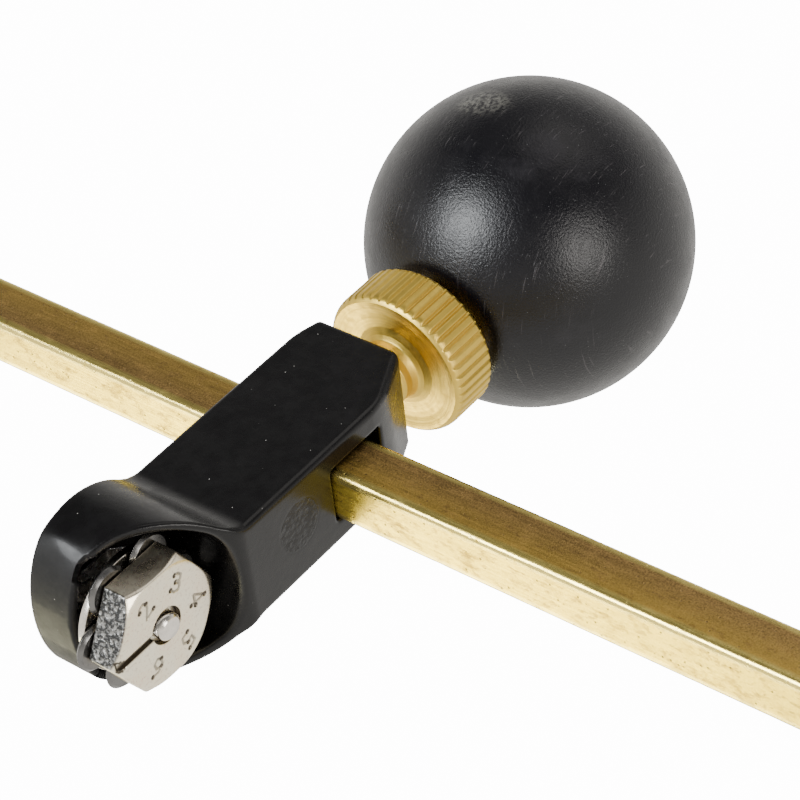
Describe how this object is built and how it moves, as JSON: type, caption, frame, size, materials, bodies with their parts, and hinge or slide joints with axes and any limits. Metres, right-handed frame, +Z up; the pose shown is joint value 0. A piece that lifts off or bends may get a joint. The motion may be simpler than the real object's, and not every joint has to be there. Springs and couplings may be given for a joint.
{
  "type": "beam circle glass cutter",
  "caption": "Circle glass cutter: a square brass bar turns on a suction cup and carries a sliding black head with a wheel turret, knurled clamp screw and ball knob.",
  "frame": {"origin": "on the glass plane, on the axis of the pivot, at the centre of the suction cup's rim", "axes": "+X along the bar towards its free end, +Z up from the glass, the working wheel touches z = 0"},
  "size_m": [0.2455, 0.054, 0.0892],
  "materials": {
    "black_paint": "semi-gloss black paint on die-cast zinc",
    "bar_brass": "drawn bar, dull and stained",
    "screw_brass": "turned, bright",
    "turret_nickel": "satin nickel plate",
    "plated_steel": "bright zinc plate",
    "steel": "plain machined steel",
    "wheel_steel": "ground, hardened",
    "cup_rubber": "matt moulded rubber",
    "nylon": "plain nylon",
    "knob_black": "satin black moulded ball"
  },
  "bodies": {
    "base": {"suction_cup": "cup_rubber", "pivot_stud": "steel", "cup_collar": "plated_steel", "lock_nut": "plated_steel", "lower_washer": "nylon", "upper_washer": "plated_steel", "cap_nut": "screw_brass"},
    "beam": {"pivot_hub": "black_paint", "pivot_bushing": "screw_brass", "hub_set_screw": "steel", "bar": "bar_brass", "end_washer": "plated_steel", "end_screw": "plated_steel"},
    "head": {"head_block": "black_paint", "turret_axle": "turret_nickel", "index_spring": "steel"},
    "turret": {"turret_body": "turret_nickel", "turret_rear_plate": "turret_nickel", "wheel_pins": "steel"},
    "clamp_pad": {"pressure_pad": "nylon"},
    "clamp_screw": {"clamp_screw": "screw_brass", "retaining_ring": "steel"},
    "knob": {"ball_knob": "knob_black", "ball_insert": "screw_brass"},
    "wheel_1": {"wheel_1": "wheel_steel"},
    "wheel_2": {"wheel_2": "wheel_steel"},
    "wheel_3": {"wheel_3": "wheel_steel"},
    "wheel_4": {"wheel_4": "wheel_steel"},
    "wheel_5": {"wheel_5": "wheel_steel"},
    "wheel_6": {"wheel_6": "wheel_steel"}
  },
  "joints": [
    {"name": "beam_turn", "type": "hinge", "parent": "base", "child": "beam", "pos_m": [0, 0, 0.0327], "axis": [0, 0, 1], "continuous": true},
    {"name": "head_slide", "type": "slide", "parent": "beam", "child": "head", "axis": [1, 0, 0], "range_m": [-0.093, 0.073]},
    {"name": "turret_index", "type": "hinge", "parent": "head", "child": "turret", "pos_m": [0.13, 0, 0.008], "axis": [1, 0, 0], "continuous": true},
    {"name": "screw_lift", "type": "slide", "parent": "head", "child": "clamp_pad", "axis": [0, 0, 1], "range_m": [0, 0.002]},
    {"name": "screw_turn", "type": "hinge", "parent": "clamp_pad", "child": "clamp_screw", "pos_m": [0.13, 0, 0.0487], "axis": [0, 0, 1], "range_deg": [0, 720.5]},
    {"name": "knob_spin", "type": "hinge", "parent": "clamp_screw", "child": "knob", "pos_m": [0.13, 0, 0.0717], "axis": [0, 0, 1], "continuous": true},
    {"name": "wheel_1_spin", "type": "hinge", "parent": "turret", "child": "wheel_1", "pos_m": [0.13055, 0, 0.0025], "axis": [1, 0, 0], "continuous": true},
    {"name": "wheel_2_spin", "type": "hinge", "parent": "turret", "child": "wheel_2", "pos_m": [0.13055, -0.00476, 0.00525], "axis": [1, 0, 0], "continuous": true},
    {"name": "wheel_3_spin", "type": "hinge", "parent": "turret", "child": "wheel_3", "pos_m": [0.13055, -0.00476, 0.01075], "axis": [1, 0, 0], "continuous": true},
    {"name": "wheel_4_spin", "type": "hinge", "parent": "turret", "child": "wheel_4", "pos_m": [0.13055, 0, 0.0135], "axis": [1, 0, 0], "continuous": true},
    {"name": "wheel_5_spin", "type": "hinge", "parent": "turret", "child": "wheel_5", "pos_m": [0.13055, 0.00476, 0.01075], "axis": [1, 0, 0], "continuous": true},
    {"name": "wheel_6_spin", "type": "hinge", "parent": "turret", "child": "wheel_6", "pos_m": [0.13055, 0.00476, 0.00525], "axis": [1, 0, 0], "continuous": true}
  ],
  "couplings": [
    {"joint": "screw_turn", "follows": "screw_lift", "rad_per_m": 6283.2}
  ]
}
